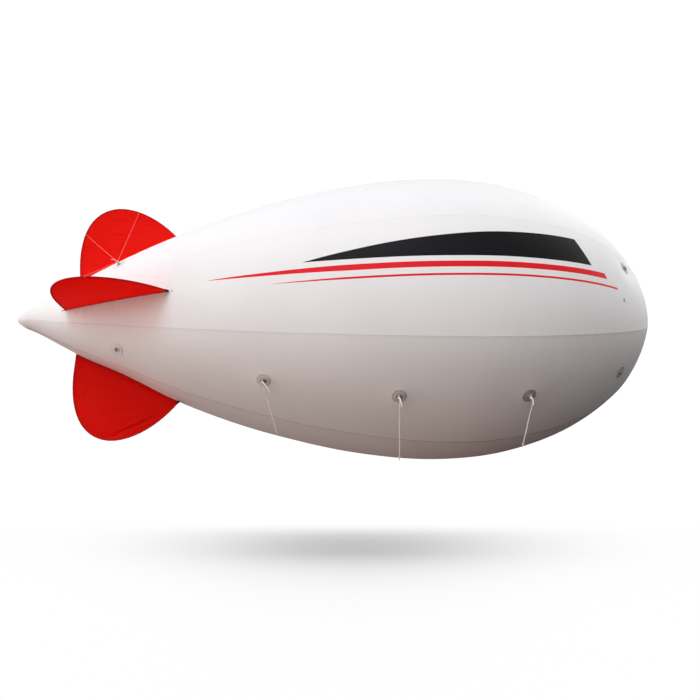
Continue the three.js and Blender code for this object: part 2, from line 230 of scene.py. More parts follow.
# radius at metres along the hull. Behind the widest section it is R (1 - back^1.78)^0.955, with the tip's
# ball 2 r s exp(-(s / reach)^1.6) added under a root of squares, and before it R (1 - ahead^2.05)^0.54
def hullRadius(along):
    share = np.clip(along / hull["length"], 1e-7, 1 - 1e-7)
    w = hull["widest"]
    back = np.clip((w - share) / w, 0, 1)
    ahead = np.clip((share - w) / (1 - w), 0, 1)
    tail = hull["radius"] * (1 - back ** hull["tailPower"]) ** hull["tailRound"]
    nose = hull["radius"] * (1 - ahead ** hull["nosePower"]) ** hull["noseRound"]
    s = share * hull["length"]
    ball = 2 * hull["tipRadius"] * s * np.exp(-((s / hull["tipReach"]) ** hull["tipPower"]))
    return np.where(share < w, np.sqrt(tail**2 + ball), nose)


def hullSlope(along):
    low, high = np.clip(along - 5e-5, 0, hull["length"]), np.clip(along + 5e-5, 0, hull["length"])
    return (hullRadius(high) - hullRadius(low)) / (high - low)


def smooth(low, high, x):
    t = np.clip((x - low) / (high - low), 0, 1)
    return t * t * (3 - 2 * t)


def fullTurn(steps):
    return np.linspace(0, 2 * np.pi, steps, endpoint=False)


# distance over the film from a place on the hull
def farFrom(place, along, angle):
    aside = np.radians((angle - place[1] + 180) % 360 - 180) * hullRadius(place[0])
    return np.hypot(along - place[0], aside)


# height of the film over the plain form: a parabola across each gore that fades to the tail and the top,
# a raised weld tape along each seam, damped sine puckers beside the seams and the fins' roots, slow waves,
# and the swells, each a bell of its distance
def filmRelief(along, angle):
    radius = hullRadius(along)
    inGore = (angle + 22.5) % 45 - 22.5
    seam = np.round((angle - 22.5) / 45)
    toSeam = np.radians(22.5 - np.abs(inGore)) * radius
    body = smooth(0.03, 0.28, radius)
    turn = np.radians(angle)
    flat = film["flatBehind"] + (1 - film["flatBehind"]) * smooth(*film["flatFrom"], along)
    flat = film["flatness"] * flat * (1 - (1 - film["flatOnTop"]) * smooth(0.25, -0.25, np.sin(turn)))
    height = radius * flat * ((inGore / 22.5) ** 2 - 1 / 3)
    height = height + film["weldHeight"] * smooth(film["weldHalf"] + 0.002, film["weldHalf"] - 0.001, toSeam)
    wave = along / film["puckerWave"] + 0.35 * np.sin(5.1 * along + 2 * seam) + 0.37 * seam
    strength = 0.35 + 0.65 * smooth(-0.3, 0.9, np.sin(3.3 * along + 1.9 * seam))
    damping = np.exp(-toSeam / film["puckerReach"])
    height = height + body * film["puckerHeight"] * strength * np.sin(2 * np.pi * wave) * damping
    slow = np.sin(4.3 * along + 2 * np.sin(turn)) * np.sin(3 * turn + 1.3 * along)
    height = height + body * film["slowHeight"] * (slow + 0.6 * np.sin(9.7 * along - 5 * turn))
    toRoot = np.radians(np.abs((angle + 45) % 90 - 45)) * radius
    root = smooth(*film["rootRear"], along) * smooth(*film["rootFront"], along)
    root = root * np.sin(2 * np.pi * along / film["rootWave"] + 1.1 * np.sin(17 * along) + 0.04 * angle)
    root = root * np.exp(-((toRoot - film["rootOff"]) / film["rootReach"]) ** 2)
    height = height + film["rootHeight"] * root
    for *place, rise, reach in swells:
        height = height + rise * np.exp(-((farFrom(place, along, angle) / reach) ** 2))
    return height * smooth(*film["valveFlat"], farFrom(valvePlace, along, angle))


# a point of the hull: the form's outline turned to the angle, moved out along the surface normal
def onHull(along, angle, height):
    slope = hullSlope(along)
    size = np.hypot(1, slope)
    x = along - hull["lift"] * hull["length"] - slope / size * height
    out = hullRadius(along) + height / size
    turn = np.radians(angle)
    return np.stack([x + 0 * out, -out * np.cos(turn), -out * np.sin(turn)], -1)


# a fitting's own frame: x along the hull to the nose, y round it, z outwards
def fittingFrame(along, angle):
    slope = float(hullSlope(along))
    size = math.hypot(1, slope)
    turn = math.radians(angle)
    around = np.array([0, -math.cos(turn), -math.sin(turn)])
    forward = np.array([1, 0, 0]) / size + around * slope / size
    outward = np.array([-slope, 0, 0]) / size + around / size
    return onHull(along, angle, 0.0), forward, np.cross(outward, forward), outward


def inFrame(place, x, y, z):
    origin, forward, across, outward = place
    x, y, z = np.broadcast_arrays(x, y, z)
    return origin + x[..., None] * forward + y[..., None] * across + z[..., None] * outward


# a node tree; a number that is read or made in it comes back as a Value
class Tree:
    def __init__(self, tree):
        self.tree = tree

    def feed(self, socket, value):
        value = getattr(value, "socket", value)
        if isinstance(value, bpy.types.NodeSocket):
            self.tree.links.new(value, socket)
        else:
            socket.default_value = (*value, 1.0) if socket.type == "RGBA" else value

    def add(self, kind, inputs=(), **settings):
        node = self.tree.nodes.new(kind)
        for label, value in settings.items():
            setattr(node, label, value)
        for key, value in dict(inputs).items():
            self.feed(node.inputs[key], value)
        return node

    def math(self, operation, *terms):
        return Value(self, self.add("ShaderNodeMath", enumerate(terms), operation=operation).outputs[0])

    def mix(self, factor, a, b):
        return self.add("ShaderNodeMix", {0: factor, 6: a, 7: b}, data_type="RGBA").outputs[2]

    def noise(self, vector, scale, detail, roughness):
        inputs = {"Vector": vector, "Scale": scale, "Detail": detail, "Roughness": roughness}
        return Value(self, self.add("ShaderNodeTexNoise", inputs).outputs[0])

    def mark(self, label):
        return Value(self, self.add("ShaderNodeAttribute", attribute_name=label).outputs["Fac"])

    def coords(self):
        return self.add("ShaderNodeTexCoord").outputs["Object"]


# a number in a node tree; each sum, product or step of it adds a node there
class Value:
    def __init__(self, home, socket):
        self.home, self.socket = home, socket

    def __add__(self, other):
        return self.home.math("ADD", self, other)

    def __sub__(self, other):
        return self.home.math("SUBTRACT", self, other)

    def __rsub__(self, other):
        return self.home.math("SUBTRACT", other, self)

    def __mul__(self, other):
        return self.home.math("MULTIPLY", self, other)

    def __truediv__(self, other):
        return self.home.math("DIVIDE", self, other)

    def __pow__(self, power):
        return self.home.math("POWER", self, power)

    def __abs__(self):
        return self.home.math("ABSOLUTE", self)

    # the sine of a wave with this length
    def wave(self, length):
        return self.home.math("SINE", self * (2 * math.pi / length))

    def clamped(self):
        self.socket.node.use_clamp = True
        return self

    # 0 below low, 1 above high, a smooth step between
    def step(self, low, high):
        inputs = {0: self, 1: low, 2: high, 3: 0.0, 4: 1.0}
        node = self.home.add("ShaderNodeMapRange", inputs, interpolation_type="SMOOTHSTEP")
        return Value(self.home, node.outputs[0])


# film grain: slow cloudiness, fine leathery skin and soft handling creases, as a colour mask and a height
def makeGrainGroup():
    group = bpy.data.node_groups.new("filmGrain", "ShaderNodeTree")
    group.interface.new_socket("Vector", in_out="INPUT", socket_type="NodeSocketVector")
    for label in ("Skin scale", "Crease amount"):
        group.interface.new_socket(label, in_out="INPUT", socket_type="NodeSocketFloat")
    for label in ("Cloud", "Height"):
        group.interface.new_socket(label, in_out="OUTPUT", socket_type="NodeSocketFloat")
    g = Tree(group)
    given = g.add("NodeGroupInput").outputs
    skin = g.noise(given["Vector"], given["Skin scale"], 2.0, 0.6)
    warp = g.noise(given["Vector"], 3.0, 2.0, 0.5)
    shifted = g.add("ShaderNodeVectorMath", {0: given["Vector"], 1: warp}, operation="ADD").outputs[0]
    ridge = (1.0 - abs(g.noise(shifted, 11.0, 4.0, 0.65) - 0.5) * 9.0).clamped()
    height = skin * 0.16 + ridge * given["Crease amount"]
    g.add("NodeGroupOutput", {"Cloud": g.noise(given["Vector"], 2.2, 5.0, 0.6), "Height": height})
    return group


grainGroup = makeGrainGroup()


class Shader(Tree):
    def __init__(self, name):
        self.material = bpy.data.materials.new(name)
        self.material.use_nodes = True
        super().__init__(self.material.node_tree)
        self.bsdf = self.tree.nodes["Principled BSDF"]
        self.out = self.tree.nodes["Material Output"]

    def grain(self, coords, skinScale, creaseAmount):
        inputs = {"Vector": coords, "Skin scale": skinScale, "Crease amount": creaseAmount}
        made = self.add("ShaderNodeGroup", inputs, node_tree=grainGroup).outputs
        return Value(self, made["Cloud"]), Value(self, made["Height"])

    # fills in the Principled shader; "bump" is the strength and the distance of the height
    def finish(self, base, roughness, height, gloss, bump, others=()):
        inputs = {"Height": height, "Strength": bump[0], "Distance": bump[1]}
        normal = self.add("ShaderNodeBump", inputs).outputs[0]
        values = {"Base Color": base, "Roughness": roughness, "Specular IOR Level": gloss, "Normal": normal}
        for label, value in {**values, **dict(others)}.items():
            self.feed(self.bsdf.inputs[label], value)
        return self.material


whiteFilm = {
    "base": (0.759, 0.761, 0.768), "cloudy": (0.737, 0.738, 0.746),
    "weldAndRootShade": (0.706, 0.702, 0.698), "weldEdge": (0.0095, 0.0125),
    "seamLine": (0.318, 0.265, 0.23), "seamLineEdge": (0.0015, 0.0042),
    "roughness": 0.37, "gloss": 0.06, "bump": (0.35, 0.0008),
}

# A plain livery on both sides: a black blade over two red lines that run to a point at the rear.
# "girth" counts upwards from the side's middle
sidePrint = {
    "rear": 2.02, "front": 4.12, "slant": 0.50, "bottom": 0.105, "depth": 0.235,
    "black": (0.005, 0.005, 0.006), "blackWorn": (0.010, 0.010, 0.012),
    "red": (0.74, 0.012, 0.022), "redWorn": (0.66, 0.018, 0.024),
    "soft": 0.0012,
    # girth, width, rear, front, taper
    "lines": ((0.045, 0.042, 1.42, 4.22, 0.9), (-0.028, 0.015, 1.80, 4.30, 0.5)),
}


# masks of the print from two marks on the side gores, in metres: along the hull, and round it above the side
def printMasks(s, p):
    along, girth = s.mark("alongHull"), s.mark("aboveSide")
    lean = along + girth * p["slant"]

    def inside(distance):
        return distance.step(-p["soft"], p["soft"])

    share = ((along - p["rear"]) / (p["front"] - p["rear"])).clamped()
    rise = 1.0 - (1.0 - share) ** 2.1
    top = (rise - share ** 3.0 * 0.16) * p["depth"] + p["bottom"]
    black = inside(girth - p["bottom"]) * inside(top - girth)
    black = black * inside(p["front"] - lean) * inside(along - p["rear"])
    lines = []
    for middle, width, rear, front, taper in p["lines"]:
        half = ((lean - rear) / taper).clamped() ** 0.7 * (width / 2)
        lines.append(inside(half - abs(girth - middle)) * inside(lean - rear) * inside(front - lean))
    return black, s.math("MAXIMUM", *lines)


def makeWhiteFilm(name, look, livery=None, seams=True):
    s = Shader(name)
    coords = s.coords()
    cloud, height = s.grain(coords, 1100.0, 0.12)
    base = s.mix(cloud.step(0.35, 0.75), look["base"], look["cloudy"])
    rough = cloud * 0.16 + look["roughness"]
    if seams:
        toSeam, shown = s.mark("toSeam"), s.mark("lineShown")
        weldAndRootShade = 1.0 - toSeam.step(*look["weldEdge"])
        uneven = s.noise(coords, 7.0, 3.0, 0.6)
        line = (1.0 - toSeam.step(*look["seamLineEdge"])) * uneven.step(0.18, 0.55) * shown
        base = s.mix(weldAndRootShade * (shown * 0.25 + 0.08), base, look["weldAndRootShade"])
        base = s.mix(line, base, look["seamLine"])
        rough = rough - weldAndRootShade * 0.08
    if livery:
        black, red = printMasks(s, livery)
        ink = s.noise(coords, 60.0, 2.0, 0.6)
        base = s.mix(black, base, s.mix(ink, livery["black"], livery["blackWorn"]))
        base = s.mix(red, base, s.mix(ink, livery["red"], livery["redWorn"]))
    return s.finish(base, rough, height, look["gloss"], look["bump"])


# Light goes through the fins' film
redFilm = {
    # the darker colour along each fin's root stands for the weld and for painted shade, deepest and widest on
    # the bottom fin
    "base": (0.97, 0.006, 0.002), "deep": (0.93, 0.005, 0.0015), "weldAndRootShade": (0.40, 0.003, 0.004),
    "roughness": 0.43, "gloss": 0.03, "bump": (0.25, 0.0010),
    "scattered": {"Subsurface Weight": 1.0, "Subsurface Radius": (1.0, 0.08, 0.05), "Subsurface Scale": 0.02},
    "shadow": (0.66, 0.03, 0.025),  # what one layer lets through of the light that falls on what is behind it
}


def makeRedFilm(name, look):
    s = Shader(name)
    coords = s.coords()
    cloud, height = s.grain(coords, 800.0, 0.35)
    stretched = s.add("ShaderNodeMapping", {"Vector": coords, "Scale": (1.6, 9.0, 9.0)}).outputs[0]
    streak = s.noise(stretched, 2.4, 4.0, 0.6)
    base = s.mix(streak.step(0.42, 0.72), look["base"], look["deep"])
    # the film darkens towards the root: the weld, and painted shade there
    base = s.mix(s.mark("rootWeld").step(0.0, 1.0), base, look["weldAndRootShade"])
    rough = cloud * 0.14 + look["roughness"]
    s.finish(base, rough, height + streak * 0.3, look["gloss"], look["bump"], look["scattered"])
    clear = s.add("ShaderNodeBsdfTransparent", {0: look["shadow"]})
    inShadow = s.add("ShaderNodeLightPath").outputs["Is Shadow Ray"]
    mixed = s.add("ShaderNodeMixShader", {0: inShadow, 1: s.bsdf.outputs[0], 2: clear.outputs[0]})
    s.feed(s.out.inputs[0], mixed.outputs[0])
    return s.material


def makeHem(name, light, dark):
    s = Shader(name)
    cloud, height = s.grain(s.coords(), 700.0, 0.3)
    tint = s.mix(cloud.step(0.3, 0.7), light, dark)
    return s.finish(tint, cloud * 0.2 + 0.42, height, gloss=0.1, bump=(0.5, 0.0008))


greyPatch = {
    "base": (0.503, 0.481, 0.481), "shade": (0.433, 0.411, 0.411),
    "rim": (0.415, 0.397, 0.397), "heart": (0.3, 0.283, 0.287),
}
clearPatch = {
    "base": (0.715, 0.711, 0.715), "shade": (0.68, 0.671, 0.68),
    "rim": (0.706, 0.698, 0.706), "heart": (0.618, 0.605, 0.618),
}
# How light each mooring patch's film is beside a nose patch's: painted light and shade, by how much light
# falls where it sits
patchLightShade = {"rear": 1.24, "middle": 1.14, "front": 0.76}


# a patch's film: the mark "fromMiddle" shows where its dotted rim starts and where its darker heart ends
def makePatchFilm(name, look):
    s = Shader(name)
    coords = s.coords()
    cloud, height = s.grain(coords, 900.0, 0.25)
    far = s.mark("fromMiddle")
    rim, heart = far.step(0.038, 0.043), 1.0 - far.step(0.020, 0.028)
    dots = Value(s, s.add("ShaderNodeTexVoronoi", {"Vector": coords, "Scale": 210.0}).outputs[0])
    spot = rim * (1.0 - dots.step(0.25, 0.55))
    base = s.mix(cloud.step(0.3, 0.7), look["base"], look["shade"])
    for factor, tint in ((rim * 0.4, "rim"), (spot * 0.45, "heart"), (heart * 0.7, "heart")):
        base = s.mix(factor, base, look[tint])
    return s.finish(base, cloud * 0.2 + 0.36, height - spot * 0.8, gloss=0.08, bump=(0.5, 0.0008))


# woven strap: fine ribs along and across it from its own marks, with two rows of stitches
def makeWebbing(name, dark, light, thread=(0.72, 0.70, 0.66)):
    s = Shader(name)
    along, across = s.mark("alongStrap"), s.mark("acrossStrap")
    weave = across.wave(0.0019) * along.wave(0.0024)
    toRow = abs(abs(across) - 0.0088)
    stitch = (1.0 - toRow.step(0.0004, 0.0008)) * along.wave(0.0044).step(-0.1, 0.1)
    base = s.mix(stitch, s.mix(weave * 0.35 + 0.5, dark, light), thread)
    return s.finish(base, weave * 0.05 + 0.8, weave + stitch * 1.6, gloss=0.25, bump=(0.7, 0.0004))


# twisted or braided cord: fibre lines that lean with the lay, read from marks along and round it
def makeRope(name, base, shade, layLength):
    s = Shader(name)
    twist = s.mark("aroundCord") * (2 * math.pi * 9)  # nine fibres show round a cord
    fibre = s.math("SINE", s.mark("alongCord") * (2 * math.pi / layLength) + twist)
    fuzz, dirt = s.noise(s.coords(), 1500.0, 3.0, 0.7), s.noise(s.coords(), 14.0, 3.0, 0.6)
    tone = (fibre * 0.2 + 0.3 + dirt * 0.5).clamped()
    base, rough, others = s.mix(tone, base, shade), fuzz * 0.15 + 0.7, {"Sheen Weight": 0.15}
    return s.finish(base, rough, fibre + fuzz, gloss=0.25, bump=(0.6, 0.0004), others=others)


def makePlastic(name, base, worn, roughness):
    s = Shader(name)
    coords = s.coords()
    height = s.grain(coords, 1300.0, 0.1)[1]
    scuff = s.noise(coords, 90.0, 4.0, 0.7)
    tint = s.mix(scuff.step(0.5, 0.75), base, worn)
    return s.finish(tint, scuff * 0.25 + (roughness - 0.1), height, gloss=0.5, bump=(0.3, 0.0005))


hullFilm = makeWhiteFilm("hullFilm", whiteFilm)
printedFilm = makeWhiteFilm("printedFilm", whiteFilm, sidePrint)
plainFilm = makeWhiteFilm("plainFilm", whiteFilm, seams=False)
finFilm = makeRedFilm("finFilm", redFilm)
hemFilm = makeHem("hemFilm", (0.56, 0.010, 0.012), (0.44, 0.008, 0.011))
pocketFilm = makeHem("pocketFilm", (0.060, 0.008, 0.020), (0.035, 0.006, 0.016))
patchFilm = makePatchFilm("patchFilm", greyPatch)
mooringLitShadedFilm = {}
# lit and shaded copies of the grey patch film: painted light and shade
for name, tone in patchLightShade.items():
    litShadedPatch = {part: tuple(tone * level for level in levels) for part, levels in greyPatch.items()}
    mooringLitShadedFilm[name] = makePatchFilm("mooringLitShadedFilm_" + name, litShadedPatch)
clearFilm = makePatchFilm("clearFilm", clearPatch)
webbing = makeWebbing("webbing", (0.238, 0.225, 0.23), (0.371, 0.353, 0.349))
lightWebbing = makeWebbing("lightWebbing", (0.583, 0.574, 0.565), (0.706, 0.698, 0.689))
ropeYarn = makeRope("ropeYarn", (0.583, 0.547, 0.512), (0.371, 0.336, 0.309), 0.028)
freeYarn = makeRope("freeYarn", (0.88, 0.86, 0.83), (0.66, 0.63, 0.60), 0.028)
stayYarn = makeRope("stayYarn", (0.90, 0.24, 0.22), (0.76, 0.15, 0.14), 0.012)
valvePlastic = makePlastic("valvePlastic", (0.583, 0.592, 0.6), (0.653, 0.653, 0.653), 0.38)
lidPlastic = makePlastic("lidPlastic", (0.56, 0.02, 0.02), (0.64, 0.05, 0.05), 0.36)
greyPlastic = makePlastic("greyPlastic", (0.265, 0.256, 0.256), (0.353, 0.344, 0.336), 0.45)
print("materials made")


# the film's outer surface, the same surface one wall further in, and a rim between them.
# Rows are even along the hull with more of them near both tips; columns crowd towards the seams
def addGore(side, middle):
    h = hull
    t = np.linspace(0, 1, h["rows"])
    eased = 0.72 * t + 0.28 * (0.5 - 0.5 * np.cos(np.pi * t))
    along = h["tailOpening"] + eased * (h["noseOpening"] - h["tailOpening"])
    across = 22.5 * np.sin(np.pi / 2 * np.linspace(-1, 1, h["columns"]))
    a, spread = np.meshgrid(along, across, indexing="ij")
    radius = hullRadius(a)
    trim = np.degrees(h["seamGap"] / radius) * np.sign(spread) * (np.abs(spread) > 22.4)
    angle = middle + spread - trim
    relief = filmRelief(a, middle + spread * 0.99999)
    marks = twice(
        alongHull=a,
        aboveSide=np.radians(spread) * radius * (-1.0 if middle == 0 else 1.0),
        toSeam=np.radians(22.5 - np.abs(spread)) * radius,
        lineShown=(0.5 + 0.5 * np.sin(np.radians(angle))) ** 3 * (0.7 + 0.6 * smooth(2.4, 3.6, a)),
    )
    shape = *shell(onHull(a, angle, relief), onHull(a, angle, relief - h["wall"])), marks
    material = printedFilm if side in ("right", "left") else hullFilm
    return addPiece("filmGore_" + side, shape, [material], "hull_film", "gore_" + side, merge=2e-5, sharp=50)


gores = {side: addGore(side, middle) for side, middle in gorePlaces.items()}
print("gores made")

port = {"radius": 0.026, "depth": 0.04, "sides": 64}


# the filling port: a round hole through both faces of the gore, under the valve's neck
def cutPort(gore, p):
    turn = fullTurn(p["sides"])
    place = fittingFrame(*valvePlace)
    x, y = p["radius"] * np.cos(turn), p["radius"] * np.sin(turn)
    rings = [inFrame(place, x, y, z) for z in (-p["depth"], p["depth"])]
    plugMesh = newMesh("portPlug", rings, bar(2, p["sides"]))
    plug = addObject("portPlug", plugMesh)
    cut = gore.modifiers.new("port", "BOOLEAN")
    cut.object, cut.solver = plug, "EXACT"
    shape = bpy.data.meshes.new_from_object(gore.evaluated_get(bpy.context.evaluated_depsgraph_get()))
    gore.modifiers.remove(cut)
    gore.data = shape
    shape.set_sharp_from_angle(angle=math.radians(50))
    bpy.data.objects.remove(plug)
    bpy.data.meshes.remove(plugMesh)


cutPort(gores["lower_left"], port)
print("port cut")

tipDiscs = {"tailReach": 0.090, "noseReach": 4.980, "height": 0.0012, "sunk": 0.002, "rings": 22, "sides": 96}


# a thin lens over each tip: rings from the tip to the disc's rim on the film, doubled one sheet further in
def addTipDisc(name, tip, reach, node):
    d = tipDiscs
    t = np.linspace(0, 1, d["rings"]) ** 1.6
    a, angle = np.meshgrid(tip + (reach - tip) * t, np.degrees(fullTurn(d["sides"])), indexing="ij")
    relief = filmRelief(a, angle) * smooth(0.010, 0.060, np.abs(a - tip))
    top = onHull(a, angle, relief + d["height"] * smooth(1.0, 0.93, t)[:, None])
    under = onHull(a, angle, relief - d["sunk"])
    for face in (top, under):
        face[0] = face[0].mean(0)
    addPiece(name, shell(top, under, closeColumns=True), [plainFilm], "hull_film", node, merge=1e-6, sharp=60)


addTipDisc("tailDisc", 0.0, tipDiscs["tailReach"], "tail_cap")
addTipDisc("noseDisc", hull["length"], tipDiscs["noseReach"], "nose_cap")
print("tip discs made")


def unit(v):
    return v / np.maximum(np.linalg.norm(v, axis=-1, keepdims=True), 1e-12)


# how far along a line each of its points is
def lengthTo(line):
    return np.concatenate([[0], np.cumsum(np.linalg.norm(np.diff(line, axis=0), axis=1))])


# a tube: a ring of points round each point of the line, square to it. "ref" keeps the rings from turning.
# radius is a function of the distance along the line and the turn round it; an open tube gets pointed caps
def tube(line, radius, sides, ref, closed=False, material=0):
    line = np.asarray(line, float)
    n, length, turn = len(line), lengthTo(line), fullTurn(sides)
    tangent = unit(np.roll(line, -1, 0) - np.roll(line, 1, 0) if closed else np.gradient(line, axis=0))
    ref = np.broadcast_to(np.asarray(ref, float), line.shape)
    first = unit(ref - (ref * tangent).sum(1, keepdims=True) * tangent)
    second = np.cross(tangent, first)
    r = radius(length[:, None], turn[None, :]) + 0 * turn[None, :]
    ring = np.cos(turn)[None, :, None] * first[:, None] + np.sin(turn)[None, :, None] * second[:, None]
    points = (line[:, None] + r[..., None] * ring).reshape(-1, 3)
    faces = [gridQuads(n, sides, closeRows=closed, closeColumns=True)]
    along, around = np.repeat(length, sides), np.tile(turn / (2 * np.pi), n)
    if not closed:
        tips = [line[0] - tangent[0] * 0.25 * r[0].mean(), line[-1] + tangent[-1] * 0.25 * r[-1].mean()]
        points = np.concatenate([points, tips])
        j = np.arange(sides)
        jNext, last = (j + 1) % sides, (n - 1) * sides
        faces.append(np.stack([jNext, j, j * 0 + n * sides], 1))
        faces.append(np.stack([j + last, jNext + last, j * 0 + n * sides + 1], 1))
        along, around = np.append(along, [0, length[-1]]), np.append(around, [0, 0])
    return {"points": points, "faces": faces, "alongCord": along, "aroundCord": around, "material": material}


# evenly spaced points on a line given by points
def evenly(line, count):
    line = np.asarray(line, float)
    length = lengthTo(line)
    at = np.linspace(0, length[-1], count)
    return np.stack([np.interp(at, length, line[:, k]) for k in range(line.shape[1])], -1)


# a smooth line through a few points: each stretch is the Catmull-Rom cubic of its four neighbours
def smoothLine(points, steps):
    p = np.asarray(points, float)
    p = np.concatenate([[2 * p[0] - p[1]], p, [2 * p[-1] - p[-2]]])
    t = np.linspace(0, 1, steps, endpoint=False)[None, :, None]
    a, b, c, d = (p[k:len(p) - 3 + k, None] for k in range(4))
    curve = 0.5 * (2 * b + (c - a) * t + (2 * a - 5 * b + 4 * c - d) * t**2 + (3 * b - a - 3 * c + d) * t**3)
    return np.concatenate([curve.reshape(-1, p.shape[1]), p[-2:-1]])


def addCord(name, parts, yarn, slot, node):
    addPiece(name, joined(parts, "alongCord", "aroundCord"), [yarn, freeYarn], slot, node, sharp=70)


# A fin in its own plane, as (along, out): a straight edge and two curves from its rear root to its front root
finForm = {
    "rearRoot": (0.440, 0.180), "rearEdge": (0.425, 0.386), "rearBow": ((0.408, 0.609), (0.451, 0.843)),
    "top": (0.635, 0.898), "frontBow": ((0.775, 0.940), (0.989, 0.846)), "frontRoot": (1.160, 0.638),
    "pivot": 0.750,  # a fin's slant turns it about this place along the hull
    "rodOffset": 0.0053, "hemRadius": 0.0050, "sheet": 0.0028,
    "blank": (0.76, 0.66),  # the flat piece that a sheet is cut from
    "rise": 0.004,  # where the sheet starts over the film
    "steps": 150, "rows": 64,
    "belly": 0.006, "ripple": 0.0022, "pucker": 0.0008, "puckers": 31,
    "phase": {"right": 0.4, "bottom": 1.3, "left": 2.2, "top": 3.6},  # of each sheet's belly
}

# Creases in the sheet: from and to (along, out), half-width, and height on the side that faces down or right
finCreases = {
    "bottom": (
        ((0.69, 0.89), (0.985, 0.765), 0.011, 0.0045), ((0.735, 0.85), (0.985, 0.728), 0.010, -0.0040),
        ((0.476, 0.62), (0.545, 0.49), 0.010, 0.0022), ((0.64, 0.905), (0.8, 0.865), 0.014, 0.0025),
    ),
    "top": (
        ((0.61, 0.848), (0.76, 0.838), 0.012, 0.0026), ((0.64, 0.8), (0.8, 0.806), 0.010, -0.0020),
        ((0.6, 0.72), (0.76, 0.7), 0.012, 0.0022), ((0.5, 0.52), (0.6, 0.505), 0.012, 0.0018),
        ((0.86, 0.8), (0.96, 0.792), 0.010, 0.0018), ((0.48, 0.43), (0.56, 0.47), 0.010, 0.0018),
    ),
    "right": (
        ((0.7, 0.88), (0.9, 0.84), 0.013, 0.0024), ((0.56, 0.6), (0.7, 0.56), 0.014, 0.0018),
        ((0.9, 0.7), (1.08, 0.69), 0.010, -0.0020),
    ),
    "left": (
        ((0.65, 0.87), (0.86, 0.85), 0.013, 0.0024), ((0.52, 0.56), (0.69, 0.6), 0.014, -0.0018),
        ((0.92, 0.72), (1.06, 0.69), 0.010, 0.0020),
    ),
}

# A fin's root shows darker, the weld with painted shade, deepest and widest on the bottom fin: how dark, and
# how far out it fades
finRootWeldAndShade = {
    "share": {"right": 0.5, "bottom": 0.85, "left": 0.5, "top": 0.6},
    "reach": {"right": 0.012, "bottom": 0.034, "left": 0.012, "top": 0.012},
}
hemEnd = {"sunk": 0.012, "pocket": 0.018, "pocketRadius": 0.0078, "eyelet": 0.034}


# a cubic curve from a to d, drawn to b and c on its way
def bezier(a, b, c, d, steps):
    t = np.linspace(0, 1, steps)[:, None]
    a, b, c, d = (np.array(p) for p in (a, b, c, d))
    return a * (1 - t) ** 3 + 3 * b * t * (1 - t) ** 2 + 3 * c * t**2 * (1 - t) + d * t**3


# the rod's line in (along, out): one straight stretch and two cubics, moved out square to itself
def rimLine(f):
    edge = np.concatenate([
        np.linspace(f["rearRoot"], f["rearEdge"], 60)[:-1],
        bezier(f["rearEdge"], *f["rearBow"], f["top"], 200)[:-1],
        bezier(f["top"], *f["frontBow"], f["frontRoot"], 200),
    ])
    edge = evenly(edge, 900)
    tangent = unit(np.gradient(edge, axis=0))
    return edge + f["rodOffset"] * np.stack([-tangent[:, 1], tangent[:, 0]], 1)


# a fin's own axes: along its root, out from the hull and across its sheet, and where its along 0, out 0 lies
def finAxes(side):
    fin = finPlaces[side]
    turn, slant = math.radians(fin["angle"]), math.radians(fin["slant"])
    outward = np.array([0, -math.cos(turn), -math.sin(turn)])
    forward = np.array([1.0, 0, 0]) * math.cos(slant) + np.cross(outward, [1.0, 0, 0]) * math.sin(slant)
    start = -finForm["pivot"] * forward
    start[0] += finForm["pivot"] - fin["back"] - hull["lift"] * hull["length"]
    return forward, outward, np.cross(forward, outward), start


# carries (along, out, across) of a fin's plane to its place round the hull
def inFin(side, along, out, across=0.0):
    forward, outward, sideways, start = finAxes(side)
    return inFrame((start, forward, outward, sideways), along, out, across)


# the film under a fin's plane: metres along the hull, degrees round it, and the root's distance from the axis
def underFin(side, along, rise=0.0):
    fin = finPlaces[side]
    slant = math.radians(fin["slant"])
    hullAlong = finForm["pivot"] - fin["back"] + (along - finForm["pivot"]) * math.cos(slant)
    aside = (along - finForm["pivot"]) * math.sin(slant)
    radius = hullRadius(hullAlong)
    angle = fin["angle"] - np.degrees(np.arcsin(aside / radius))
    out = np.sqrt((radius + filmRelief(hullAlong, angle) + rise) ** 2 - aside**2)
    return hullAlong, angle, out


# a fin's free rim and its root, as rows of (along, out) from the rear end to the front end
def finLines(side):
    f = finForm
    rim = rimLine(f)
    rim = evenly(rim[rim[:, 1] > underFin(side, rim[:, 0])[2] + 0.001], f["steps"])
    along = np.linspace(rim[0, 0], rim[-1, 0], f["steps"])
    skin = np.stack([along, underFin(side, along)[2]], 1)
    rise = np.minimum(f["rise"], 0.9 * np.linalg.norm(rim - skin, axis=1))
    root = np.stack([along, underFin(side, along, rise)[2]], 1)
    root[0], root[-1] = rim[0], rim[-1]
    return rim, root


# distance from points to a straight stretch, and the share of the way along it
def toStretch(p, a, b):
    a, b = np.array(a), np.array(b)
    share = np.clip(((p - a) @ (b - a)) / ((b - a) @ (b - a)), 0, 1)
    return np.linalg.norm(p - a - share[..., None] * (b - a), axis=-1), share


# how far the sheet leans out of its plane: a long belly, creases as narrow ridges, and puckers along the hem
def finSway(side, p, u, v):
    f, phase = finForm, finForm["phase"][side]
    sway = f["belly"] * np.sin(np.pi * u) * np.sin(np.pi * v) * np.sin(phase + 3.1 * u)
    sway += f["ripple"] * np.sin(11 * u + phase) * np.sin(np.pi * v) * np.sin(5 * v + phase)
    for start, stop, half, height in finCreases[side]:
        far, share = toStretch(p, start, stop)
        sway += height * np.exp(-((far / half) ** 2)) * np.sin(np.pi * (0.08 + 0.84 * share))
    hem = np.exp(-((1 - v) * np.sin(np.pi * u) / 0.035))
    wave = np.sin(2 * np.pi * u * f["puckers"] + 3 * np.sin(9 * u))
    sway += f["pucker"] * hem * wave * smooth(0, 0.03, 1 - v)
    return sway * smooth(0, 0.04, v) * smooth(0, 0.02, 1 - v)


